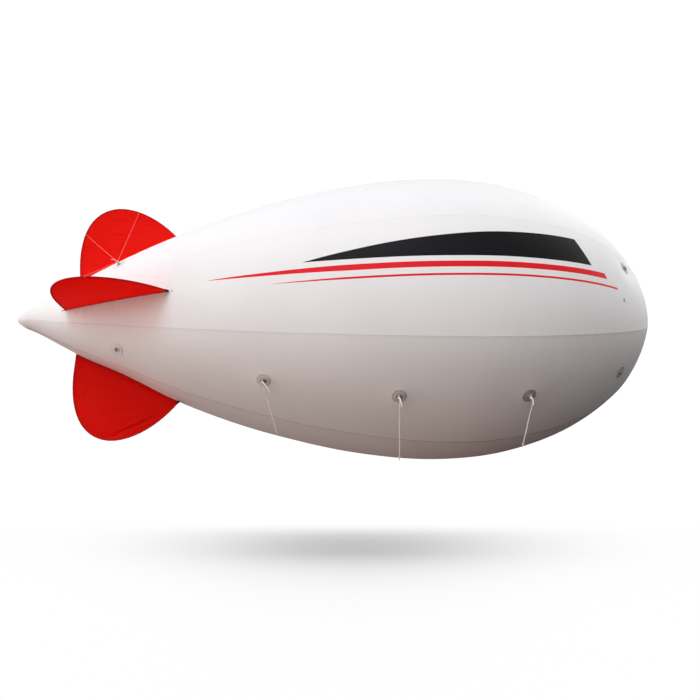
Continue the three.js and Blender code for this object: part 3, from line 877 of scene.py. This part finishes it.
# two layers between the root and the rim, straight from one to the other, meeting in the hem and at the root
def addFin(side):
    f = finForm
    rim, root = finLines(side)
    u, v = np.meshgrid(np.linspace(0, 1, f["steps"]), np.linspace(0, 1, f["rows"]), indexing="ij")
    p = root[:, None] * (1 - v)[..., None] + rim[:, None] * v[..., None]
    sway = finSway(side, p, u, v)
    half = f["sheet"] / 2 * smooth(0, 0.02, v) * smooth(0, 0.02, 1 - v)
    half = half * smooth(0, 0.01, u) * smooth(0, 0.01, 1 - u)
    layers = [inFin(side, p[..., 0], p[..., 1], sway + shift).reshape(-1, 3) for shift in (half, -half)]
    quads = gridQuads(f["steps"], f["rows"])
    over = v * np.linalg.norm(rim - root, axis=1)[:, None]
    # how dark the root's weld and painted shade are, fading out from the root
    marks = twice(rootWeld=finRootWeldAndShade["share"][side] * np.exp(-((over / finRootWeldAndShade["reach"][side]) ** 2)))
    shape = np.concatenate(layers), [quads, quads[:, ::-1] + u.size], marks
    outline = np.concatenate([rim, root[::-1]])
    after = np.roll(outline, -1, 0)
    area = 0.5 * abs(float((outline[:, 0] * after[:, 1] - after[:, 0] * outline[:, 1]).sum()))
    piece = addPiece("finSheet_" + side, shape, [finFilm], "fin_film", "fin_" + side, merge=1e-6, sharp=60)
    hem, rod = addHem(side, rim), "fin_rod_" + side
    return area


# the hem's sleeve round the rod, a little puckered, and a dark pocket over its front end; both enter the hull
def addHem(side, rim):
    e, thin = hemEnd, finForm["hemRadius"]
    first, last = unit(rim[1] - rim[0]), unit(rim[-1] - rim[-2])
    sunk = rim[-1] + last * e["sunk"]

    def sleeve(s, t):
        pucker = 0.05 * np.sin(2 * np.pi * s / 0.021) * np.cos(t)
        return thin * (1 + pucker + 0.04 * np.sin(2 * np.pi * s / 0.047 + 2 * t))

    def pocket(s, t):
        swell = smooth(0, 0.006, s) * (0.8 + 0.2 * smooth(0, 0.02, s))
        return thin + (e["pocketRadius"] - thin) * swell + 0.0003 * np.sin(3 * t + s / 0.004)

    def sleeved(name, line, form, sides, material, node=None):
        part = tube(inFin(side, line[:, 0], line[:, 1]), form, sides, finAxes(side)[2])
        return addPiece(name, joined([part]), [material], "fin_rod", node, sharp=70)

    line = evenly(np.concatenate([[rim[0] - first * e["sunk"]], rim, [sunk]]), 420)
    hem = sleeved("finHem_" + side, line, sleeve, 14, hemFilm, "fin_rod_" + side)
    sleeved("finPocket_" + side, evenly([rim[-1] - last * e["pocket"], sunk], 40), pocket, 20, pocketFilm)
    return hem


finArea = [addFin(side) for side in finPlaces]
print("fins made, flat area each", round(finArea[0], 3))

rootFlange = {
    "rear": 0.392, "front": 1.172, "height": 0.0012, "steps": 300,
    # half of its section from the edge to the fin, as (aside, height)
    "wing": (
        (-0.040, -0.003), (-0.040, 0.0002), (-0.036, 0.00096), (-0.032, 0.00072), (-0.024, 0.0012),
        (-0.018, 0.0012), (-0.010, 0.0022), (-0.0042, 0.0055), (-0.0026, 0.010),
    ),
    "weltSpans": (7, 8, 9),
}


# a strip that follows the film: its section is flat at the edges and rises to a narrow welt round the fin
def addFlange(side):
    f = rootFlange
    along = np.linspace(f["rear"], f["front"], f["steps"])
    section = np.array([*f["wing"], *((-y, z) for y, z in f["wing"][::-1])])
    taper = smooth(0, 0.03, along - f["rear"]) * smooth(0, 0.03, f["front"] - along)
    wide = section[None, :, 0] * (0.25 + 0.75 * np.sqrt(taper))[:, None]
    rim = finLines(side)[0]
    rear, front = rim[0, 0], rim[-1, 0]
    inSpan = smooth(rear - 0.004, rear + 0.012, along) * smooth(front + 0.004, front - 0.012, along)
    rise = section[None, :, 1] + 0 * wide
    tall = np.where(rise > 0.005, f["height"] + (rise - f["height"]) * inSpan[:, None], rise)
    a, angle = (row[:, None] + 0 * wide for row in underFin(side, along)[:2])
    angle = angle + np.degrees(wide / hullRadius(a))
    welt = np.tile(np.isin(np.arange(a.shape[1]), f["weltSpans"]), len(a) - 1)
    shape = onHull(a, angle, filmRelief(a, angle) + tall), bar(*a.shape), (), np.append(welt, [0, 0])
    films = [plainFilm, hemFilm]
    addPiece("finFlange_" + side, shape, films, "hull_film", "fin_flange_" + side, sharp=35)


for side in finPlaces:
    addFlange(side)
print("fin flanges made")

patch = {
    "radius": 0.052, "rings": 26, "sides": 56, "sunk": 0.003,
    # (share of the radius, height)
    "profile": (
        (0, 0.0030), (0.46, 0.0030), (0.50, 0.0017), (0.78, 0.0016), (0.81, 0.0024),
        (0.92, 0.0024), (0.95, 0.0015), (0.99, 0.0012), (1, 0.0002),
    ),
    "strapWidth": 0.024, "strapThick": 0.0018, "strapFoot": 0.023, "crown": 0.0155, "arch": 0.0062,
    "strapSeat": 0.0032, "strapEdge": 0.0005,
}


def liftAt(place):
    return float(filmRelief(*place))


# a round patch on the film: height by distance from its middle, doubled underneath and closed at the rim
def patchDisc(along, angle):
    share, turn = np.meshgrid(np.linspace(0, 1, patch["rings"]), fullTurn(patch["sides"]), indexing="ij")
    far = share * patch["radius"]
    a = along + far * np.cos(turn) / math.hypot(1, hullSlope(along))
    g = angle + np.degrees(far * np.sin(turn) / hullRadius(along))
    relief = filmRelief(a, g)
    top = onHull(a, g, relief + np.interp(share, *np.array(patch["profile"]).T))
    return *shell(top, onHull(a, g, relief - patch["sunk"]), closeColumns=True), twice(fromMiddle=far)


# the folded strap: two feet sewn flat and an arch between them, a rounded section carried along that line
def patchStrap(place):
    p = patch
    half, thick, edge = p["strapWidth"] / 2, p["strapThick"] / 2, p["strapEdge"]
    foot, arch, low = p["strapFoot"], p["arch"], p["strapSeat"] + thick
    turn = np.linspace(-1, 1, 25) * np.pi * 0.62
    loop = np.stack([arch * 1.05 * np.sin(turn), p["crown"] - arch + arch * np.cos(turn)], 1)
    left = np.array([(-foot, low), (-foot * 0.6, low), (-0.0085, low), (-0.0060, low + 0.0016)])
    line = smoothLine(np.concatenate([left, loop[::2], (left * [-1, 1])[::-1]]), 5)
    tangent = unit(np.gradient(line, axis=0))
    corner = [(half, thick * 0.5), (half - edge, thick), (edge - half, thick), (-half, thick * 0.5)]
    y, thickness = np.array([(-y, -z) for y, z in corner] + corner).T
    x = line[:, 0, None] - tangent[:, 1, None] * thickness
    z = line[:, 1, None] + tangent[:, 0, None] * thickness
    marks = [("alongStrap", np.repeat(lengthTo(line), len(y))), ("acrossStrap", np.tile(y, len(line)))]
    return inFrame(fittingFrame(*place), x, y, z + liftAt(place)), bar(*x.shape), marks


def addPatch(name, node, place, material, strapMaterial):
    addPiece(name, patchDisc(*place), [material], "patch", node, sharp=50)
    addPiece(name + "_strap", patchStrap(place), [strapMaterial], "patch", sharp=50)


for name, along in mooringAlong.items():
    for side, angle in mooringSides.items():
        full = f"{name}_{side}"
        addPatch("mooringPatch_" + full, "mooring_patch_" + full, (along, angle), mooringLitShadedFilm[name], webbing)
for corner in nosePatches:
    addPatch("nosePatch_" + corner, "nose_patch_" + corner, nosePatches[corner], patchFilm, webbing)
    addPatch("stayPatch_" + corner, "stay_patch_" + corner, stayPatches[corner], clearFilm, lightWebbing)
print("patches made")


# a ring or disc turned from a closed outline of (radius, height) about a fitting's outward axis
def turnedPart(place, outline, sides=72, ripple=None):
    r, z = np.array(outline, float).T[..., None]
    turn = fullTurn(sides)
    r = r * (ripple(z, turn) if ripple else np.ones(sides))
    return ringPart(inFrame(place, r * np.cos(turn), r * np.sin(turn), z))


# closed outlines of (radius, height over the film), in millimetres
smallFittings = {
    "eyelet": ((3.0, -2), (3.0, 0.7), (3.6, 1.3), (5.6, 1.3), (6.6, 0.7), (6.8, -2)),
    "plug": ((0, -2), (0, 2.2), (4.0, 2.4), (8.0, 2.3), (8.6, 1.2), (12.4, 1.4), (13.6, 0.9), (14.0, -2)),
    "plugPlace": (4.381, 6.7),
}


def addSmallFitting(name, outline, place):
    outline = [(r / 1000, z / 1000 + liftAt(place)) for r, z in outline]
    part = turnedPart(fittingFrame(*place), outline, sides=40)
    addPiece(name, joined([part]), [greyPlastic], "patch")


for side in finPlaces:
    spot = underFin(side, finLines(side)[0][-1, 0] + hemEnd["eyelet"])
    addSmallFitting("finEyelet_" + side, smallFittings["eyelet"], (float(spot[0]), float(spot[1])))
addSmallFitting("nosePlug", smallFittings["plug"], smallFittings["plugPlace"])
print("eyelets and plug made")

# The ropes' tails: "radius" of the taut run and of the short free end beside it, heights over the patch,
# and the free end's way, as (share of its x, metres aside, share of its z)
rope = {
    "radius": 0.0036, "freeRadius": 0.0043, "lay": 0.028, "knotHeight": 0.0253, "eyeHeight": 0.0085,
    "loopHalf": 0.0165, "knot": 0.0021, "stopper": 0.0018, "tip": 0.018, "bow": 0.003,
    "freeTurns": ((0.25, 0.014, 0.20), (0.60, 0.016, 0.56), (0.86, 0.013, 0.86), (1.0, 0.008, 1.0)),
}
# How far a rope drops below its knot and leans to the nose, how far it first hangs straight, and its free end
ropeRuns = {
    "rear": {"drop": 0.335, "lean": 0.090, "straight": 0.012, "free": (0.050, -0.074)},
    "middle": {"drop": 0.390, "lean": -0.025, "straight": 0.012, "free": (0.013, -0.064)},
    "front": {"drop": 0.315, "lean": -0.100, "straight": 0.044, "free": (0.004, -0.052)},
}
ropeKept = {"right": 1.0, "left": 0.33}  # the left side's ropes are cut short
outY = {"right": -1.0, "left": 1.0}
# The stays: "shares" say how far round each fin's rim they end, and "freeTurns" are metres from their knot
stay = {
    "radius": 0.0015, "lay": 0.012, "strands": 4, "depth": 0.12, "sag": 0.004,
    "topShares": (0.357, 0.71), "sideShare": 0.612, "knot": 0.0015, "bigKnot": 0.0026, "thickCord": 0.0026,
    "freeTurns": ((0, 0, 0), (-0.012, 0.010, 0.007), (-0.028, 0.014, 0.011), (-0.042, 0.013, 0.010)),
}


# radius of a laid cord: its strands are ridges that turn once round it in each length of lay
def layForm(radius, lay, strands=3, depth=0.16):
    def form(s, t):
        return radius * (1 - depth + depth * np.abs(np.cos(strands / 2 * (t - 2 * np.pi * s / lay))) ** 0.8)

    return form


# an overhand knot: a closed line that winds three times round a ring while going twice round its axis
def knotPart(centre, axis, size, form, count=90, sides=12, material=0):
    axis = unit(np.asarray(axis, float))
    side = unit(np.cross(axis, [0.3, 0.9, 0.2]))
    third = np.cross(axis, side)
    t = fullTurn(count)[:, None]
    x, y, z = (2 + np.cos(3 * t)) * np.cos(2 * t), (2 + np.cos(3 * t)) * np.sin(2 * t), 1.35 * np.sin(3 * t)
    line = centre + size * (x * side + y * third + z * axis)
    return tube(line, form, sides, axis + 0.4 * unit(line - centre), closed=True, material=material)


# where a patch's knot sits
def knotAt(place):
    return inFrame(fittingFrame(*place), 0, 0, rope["knotHeight"])


# a loop of rope through the strap's eye: an ellipse from the eye up to the knot
def eyeLoop(place, form):
    t, spot = fullTurn(60), fittingFrame(*place)
    low, high = rope["eyeHeight"], rope["knotHeight"]
    height = (low + high) / 2 + liftAt(place) + (high - low) / 2 * np.sin(t)
    return tube(inFrame(spot, 0, rope["loopHalf"] * np.cos(t), height), form, 12, spot[1], closed=True)


def addRope(name, side):
    place = mooringAlong[name], mooringSides[side]
    run, aside, knot = ropeRuns[name], outY[side], knotAt(place)
    end = knot + ropeKept[side] * np.array([run["lean"], 0, -run["drop"]])
    form, freeForm = layForm(rope["radius"], rope["lay"]), layForm(rope["freeRadius"], rope["lay"])
    bend = knot + [0.002, 0, -run["straight"]]
    way, bow = unit(end - bend), np.array([0.0, -rope["bow"] * aside, 0])
    middle = [bend, bend * 0.65 + end * 0.35 + bow, bend * 0.3 + end * 0.7 - bow * 0.5]
    main = smoothLine([knot, *middle, end, end + way * rope["tip"]], 40)
    x, z = run["free"]
    free = smoothLine([knot] + [knot + [x * a, aside * b, z * c] for a, b, c in rope["freeTurns"]], 12)
    parts = [
        tube(evenly(main, 150), form, 15, [0.3, 1.0, 0.1]),
        tube(evenly(free, 36), freeForm, 15, [0.3, 1.0, 0.1], material=1),
        eyeLoop(place, form),
        knotPart(knot, way, rope["knot"], freeForm, material=1),
        knotPart(end, way, rope["stopper"], form),
    ]
    addCord(f"mooringRope_{name}_{side}", parts, ropeYarn, "rope", f"mooring_rope_{name}_{side}")


for name in mooringAlong:
    for side in mooringSides:
        addRope(name, side)
print("mooring ropes made")


# one stay from the patch's knot to a share of a fin's rod, with its loop and knot there
def stayParts(knot, fin, share, form):
    sideways = finAxes(fin)[2]
    sideways = sideways if sideways @ knot > 0 else -sideways
    line = evenly(rimLine(finForm), 2001)
    at = int(round(share * 2000))
    rimPoint, ahead = (inFin(fin, *line[k]) for k in (at, at + 20))
    tip = rimPoint + sideways * (finForm["hemRadius"] + stay["radius"])
    tangent = unit(ahead - rimPoint)
    t = fullTurn(40)[:, None]
    reach = finForm["hemRadius"] + stay["radius"] * 0.9
    ring = rimPoint + reach * (np.cos(t) * sideways + np.sin(t) * np.cross(tangent, sideways))
    sag = np.array([0, 0, -stay["sag"]]) * np.linalg.norm(tip - knot)
    run = smoothLine([knot, (knot + tip) / 2 + sag, tip], 60)
    return [
        tube(evenly(run, 150), form, 10, [1.0, 0.35, 0.2]),
        tube(ring, form, 10, tangent, closed=True),
        knotPart(tip + unit(knot - tip) * 0.006, knot - tip, stay["knot"], form, 60, 8),
    ]


def addStays(side, place):
    knot, outward = knotAt(place), fittingFrame(*place)[3]
    radii = stay["radius"], stay["thickCord"]
    form, thickForm = (layForm(r, stay["lay"], stay["strands"], stay["depth"]) for r in radii)
    parts = [eyeLoop(place, form), knotPart(knot, outward, stay["bigKnot"], thickForm, material=1)]
    for fin, share in (*(("top", share) for share in stay["topShares"]), (side, stay["sideShare"])):
        parts += stayParts(knot, fin, share, form)
    free = smoothLine([knot + [x, outY[side] * y, z] for x, y, z in stay["freeTurns"]], 12)
    parts.append(tube(evenly(free, 26), thickForm, 10, [0.3, 1.0, 0.1], material=1))
    addCord("finStays_" + side, parts, stayYarn, "stay", "fin_stays_" + side)


addStays("right", stayPatches["upper_right"])
addStays("left", stayPatches["upper_left"])
print("stays made")

# The filling valve; heights are over the film
valve = {
    "flange": 0.055, "outer": 0.030, "inner": 0.022, "wall": 0.003, "neck": 0.020, "gap": 0.0003,
    "lidRadius": 0.032, "lidWall": 0.005, "knob": 0.012, "knobRise": 0.005,
    "pin": 0.0025, "pinOffset": 0.040, "play": 0.0005,
    "earWidth": 0.006, "earDepth": 0.012, "earRise": 0.002, "spread": 0.020,
    "ribs": (36, 0.012), "grips": (14, 0.05),  # how many round it, and their height as a share of the radius
}


# a prism: a closed outline in (y, z) carried from x0 to x1, its two ends a little smaller for a soft edge
def prismPart(place, outline, x0, x1, edge=0.0007):
    outline = np.array(outline, float)
    middle = outline.mean(0)
    small = middle + (outline - middle) * (1 - edge / np.abs(outline - middle).max() * 1.6)
    rows = ((x0, small), (x0 + edge, outline), (x1 - edge, outline), (x1, small))
    points = np.concatenate([inFrame(place, x, *o.T) for x, o in rows])
    return {"points": points, "faces": bar(4, len(outline))}


# a cylinder along x with rounded rims, or a barrel with a bore, from a closed outline of (x, radius)
def barrelPart(place, outline, y, z, sides=40):
    x, r = np.array(outline, float).T[..., None]
    turn = fullTurn(sides)
    return ringPart(inFrame(place, x, y + r * np.cos(turn), z + r * np.sin(turn)))


# the right half of a barrel's outline and its mirror image
def mirrored(half):
    return [(-x, r) for x, r in half] + list(half[::-1])


# cosine ribs between two heights
def ribbed(kind, low, high):
    count, depth = kind

    def ripple(z, turn):
        return 1 + depth * np.where((z > low) & (z < high), np.cos(count * turn), 0)

    return ripple


def addBase(v, place, pinHeight):
    low, high = v["wall"], v["wall"] + v["neck"]
    inner, outer, flange = v["inner"], v["outer"], v["flange"]
    groove = outer - 0.0012
    ring = [
        (inner, -0.011), (inner, high - 0.002), (inner + 0.0012, high), (outer - 0.0015, high),
        (outer, high - 0.0015), (outer, high - 0.0035), (groove, high - 0.0045), (groove, high - 0.0095),
        (outer, high - 0.0105), (outer, low + 0.003), (outer + 0.0012, low + 0.0008), (outer + 0.004, low),
        (flange - 0.014, low), (flange - 0.012, low - 0.0006), (flange - 0.005, low - 0.0006),
        (flange - 0.003, low), (flange - 0.0006, low - 0.0006), (flange, low - 0.002),
        (flange, -0.006), (outer, -0.011),
    ]
    y, half = -v["pinOffset"], v["earDepth"] / 2
    crown = pinHeight + v["pin"] + v["earRise"] - half * 0.75
    arc = np.linspace(0, np.pi, 13)
    ear = [(y - half, -0.006), (y + half, -0.006)]
    ear += [(y + half * math.cos(a), crown + half * 0.75 * math.sin(a)) for a in arc]
    near = v["spread"] / 2 + v["play"]
    far = near + v["earWidth"]
    end, pin = far + 0.0006, v["pin"]
    parts = [
        turnedPart(place, ring), prismPart(place, ear, -far, -near), prismPart(place, ear, near, far),
        barrelPart(place, mirrored(((end, 0), (end, pin * 0.8), (end - 0.0005, pin))), y, pinHeight),
    ]
    addPiece("valveBase", joined(parts), [valvePlastic], "valve", "valve_base", sharp=32)


def addLid(v, place, pinHeight):
    low = v["wall"] + v["neck"] + v["gap"]
    high = low + v["lidWall"]
    top, r, k = high + v["knobRise"], v["lidRadius"], v["knob"]
    dip, knobDip = high - 0.0008, top - 0.0007
    disc = [
        (0, low), (r - 0.0012, low), (r, low + 0.0012), (r, high - 0.0016), (r - 0.0016, high),
        (r - 0.006, high), (r - 0.0075, dip), (k + 0.004, dip), (0, dip),
    ]
    knob = [
        (0, high - 0.002), (k, high - 0.002), (k, high), (k, top - 0.0014), (k - 0.0014, top),
        (k - 0.004, top), (k - 0.005, knobDip), (0, knobDip),
    ]
    rear, front = -v["pinOffset"] + v["pin"] + 0.0012, 0.008 - r
    arm = [(rear, low + 0.0003), (front, low + 0.0003), (front, high - 0.0012), (rear, high - 0.0002)]
    half, bore = v["spread"] / 2, v["pin"] + v["play"]
    barrel = mirrored(((half, bore), (half, v["pin"] + 0.0026), (half - 0.0006, v["pin"] + 0.003)))
    parts = [
        turnedPart(place, disc, 144, ribbed(v["ribs"], low + 0.0008, dip)),
        turnedPart(place, knob, 112, ribbed(v["grips"], high + 0.0005, top - 0.0008)),
        prismPart(place, arm, -half, half),
        barrelPart(place, barrel, -v["pinOffset"], pinHeight),
    ]
    addPiece("valveLid", joined(parts), [lidPlastic], "valve_lid", "valve_lid", "lid", sharp=32)


valvePin = valve["wall"] + valve["neck"] + valve["gap"] + valve["lidWall"] / 2
addBase(valve, fittingFrame(*valvePlace), valvePin)
addLid(valve, fittingFrame(*valvePlace), valvePin)
print("valve made")

# Only the camera sees the pale floor with its soft shade; the low sun stands for the light it throws back
stageLook = {
    "floorDrop": 0.30,  # floor below the camera
    "floorHalf": 60.0, "floorPoints": 41,
    "floorTilt": -0.0494,  # the hull is held nose up, so the floor falls to its nose by this slope
    "pale": (1.0, 1.0, 1.0), "shadeDepth": 0.455, "shadePlace": (-0.353, 0.708), "shadeTurn": -10.3,
    "shadeHalf": 0.95,  # its half-width in its middle, and how much wider it gets for each metre away
    "shadeSpread": 0.169, "shadeLeast": 0.3,
    "shadeReach": (1.40, 5.0),  # towards the near side and towards the far side
    "sky": (0.05, 0.05, 0.055), "backdrop": (1.05, 1.05, 1.05),
}

# Soft suns: azimuth 0 shines from the hull's right side and -90 from the tail; elevation is above the horizon
suns = (
    ("sideLight", -20, 30, 1.89, (1.0, 0.84, 0.85), 65),
    ("highLight", -20, 50, 1.39, (0.74, 0.91, 1.0), 30),
    ("noseLight", 100, 30, 2.1, (0.98, 1.0, 0.93), 65),
    ("tailLight", -100, 0, 1.51, (0.84, 0.87, 1.0), 65),
    ("quarterLight", -60, 0, 0.93, (0.97, 1.0, 0.76), 65),
    ("floorLight", -100, -30, 0.59, (1.0, 0.26, 0.08), 65),
    ("farLight", 180, 60, 0.32, (1.0, 1.0, 1.0), 65),
)


# the floor's own light: pale, and darker by a bell whose square distance is summed from three shares
def makePaleFloor(look):
    s = Shader("paleFloor")
    s.tree.nodes.remove(s.bsdf)
    turn = (0.0, 0.0, math.radians(look["shadeTurn"]))
    place = {"Vector": s.coords(), "Location": (*look["shadePlace"], 0.0), "Rotation": turn}
    local = s.add("ShaderNodeMapping", place, vector_type="TEXTURE").outputs[0]
    split = s.add("ShaderNodeSeparateXYZ", {"Vector": local})
    across, away = (Value(s, socket) for socket in split.outputs[:2])
    near, far = look["shadeReach"]
    a = across / s.math("MAXIMUM", away * look["shadeSpread"] + look["shadeHalf"], look["shadeLeast"])
    b = s.math("MINIMUM", away, 0.0) / near
    c = s.math("MAXIMUM", away, 0.0) / far
    shade = s.math("EXPONENT", (a * a + b * b + c * c) * -0.5)
    dark = tuple((1 - look["shadeDepth"]) * level for level in look["pale"])
    s.feed(s.out.inputs[0], s.add("ShaderNodeEmission", {0: s.mix(shade, look["pale"], dark)}).outputs[0])
    return s.material


def makeFloor(look):
    side = np.linspace(-look["floorHalf"], look["floorHalf"], look["floorPoints"])
    x, y = np.meshgrid(side, side, indexing="ij")
    turn = math.radians(look["shadeTurn"])
    px, py, pz = photoView["place"]
    z = pz - look["floorDrop"] + look["floorTilt"] * ((x - px) * math.cos(turn) + (y - py) * math.sin(turn))
    mesh = newMesh("floor", np.stack([x, y, z], -1), [gridQuads(*x.shape)])
    mesh.materials.append(makePaleFloor(look))
    floor = addObject("floor", mesh)
    for ray in ("diffuse", "glossy", "transmission", "shadow"):
        setattr(floor, "visible_" + ray, False)


def makeWorld(look):
    world = bpy.data.worlds.new("paleSky")
    bpy.context.scene.world = world
    world.use_nodes = True
    w = Tree(world.node_tree)
    seen = w.add("ShaderNodeLightPath").outputs["Is Camera Ray"]
    w.feed(w.tree.nodes["Background"].inputs[0], w.mix(seen, look["sky"], look["backdrop"]))


def addSun(name, azimuth, elevation, strength, tint, softness):
    data = bpy.data.lights.new(name, "SUN")
    data.energy, data.color, data.angle = strength, tint, math.radians(softness)
    sun = addObject(name, data)
    a, e = math.radians(azimuth), math.radians(elevation)
    z = np.array([math.cos(e) * math.sin(a), -math.cos(e) * math.cos(a), math.sin(e)])
    x = unit(np.cross([0, 0, 1.0], z))
    sun.matrix_world = Matrix(np.stack([x, np.cross(z, x), z], 1).tolist()).to_4x4()


makeFloor(stageLook)
makeWorld(stageLook)
for sun in suns:
    addSun(*sun)
bpy.context.scene.view_settings.view_transform = "Standard"
print("floor and light made")
